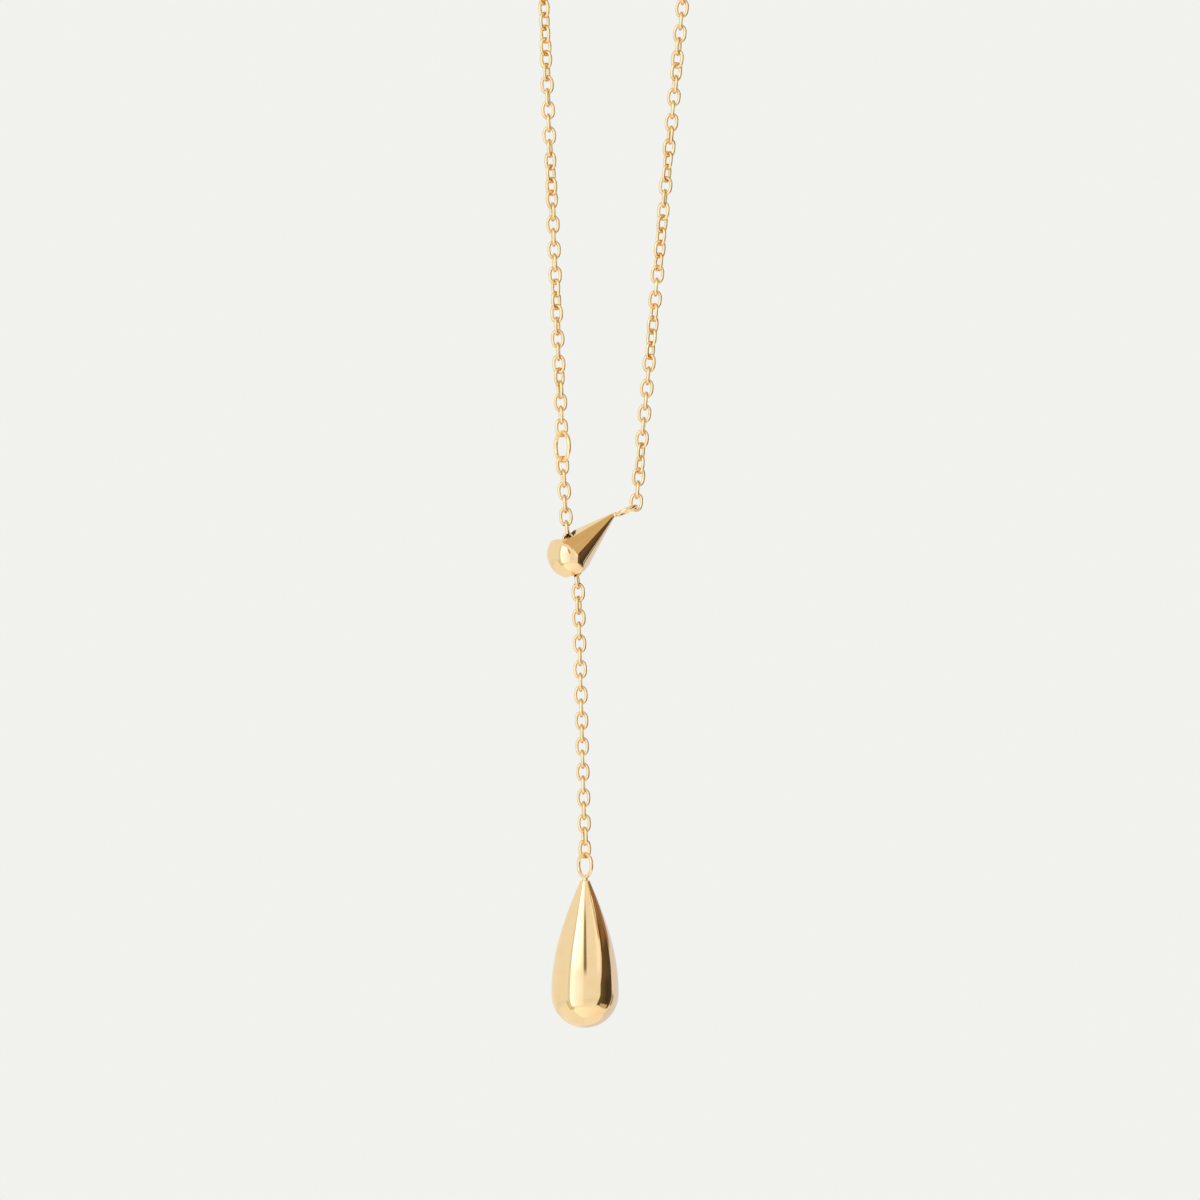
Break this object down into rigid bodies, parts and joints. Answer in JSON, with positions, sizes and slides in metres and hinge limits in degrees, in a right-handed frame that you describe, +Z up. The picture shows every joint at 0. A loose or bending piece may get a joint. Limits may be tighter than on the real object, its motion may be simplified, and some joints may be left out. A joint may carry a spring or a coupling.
{
  "type": "drop necklace",
  "caption": "Fine gold chain necklace with a teardrop slider bead on its tail and a solid drop pendant that swings from a ring.",
  "frame": {"origin": "at the nape, on the underside of the barrel clasp, where the hanging loop is held", "axes": "+X to the right in the picture, the wearer's left; +Y away from the camera, from the front to the back; +Z up"},
  "size_m": [0.0344, 0.0069, 0.2621],
  "materials": {
    "drop_gold": "mirror-polished pale gold plating",
    "slider_gold": "mirror-polished pale gold plating",
    "chain_gold": "bright pale gold plating on drawn wire",
    "clasp_gold": "polished pale gold plating"
  },
  "bodies": {
    "necklace": {"slider": "slider_gold", "stop_ring": "chain_gold", "clasp": "clasp_gold", "tail_chain": "chain_gold", "left_chain": "chain_gold", "right_chain": "chain_gold", "left_nape_chain": "chain_gold", "right_nape_chain": "chain_gold"},
    "drop": {"drop": "drop_gold"}
  },
  "joints": [
    {"name": "drop_swing", "type": "hinge", "parent": "necklace", "child": "drop", "pos_m": [-0.00642, 0, -0.24283], "axis": [0.9135, 0.4067, 0], "range_deg": [-60, 60]}
  ]
}
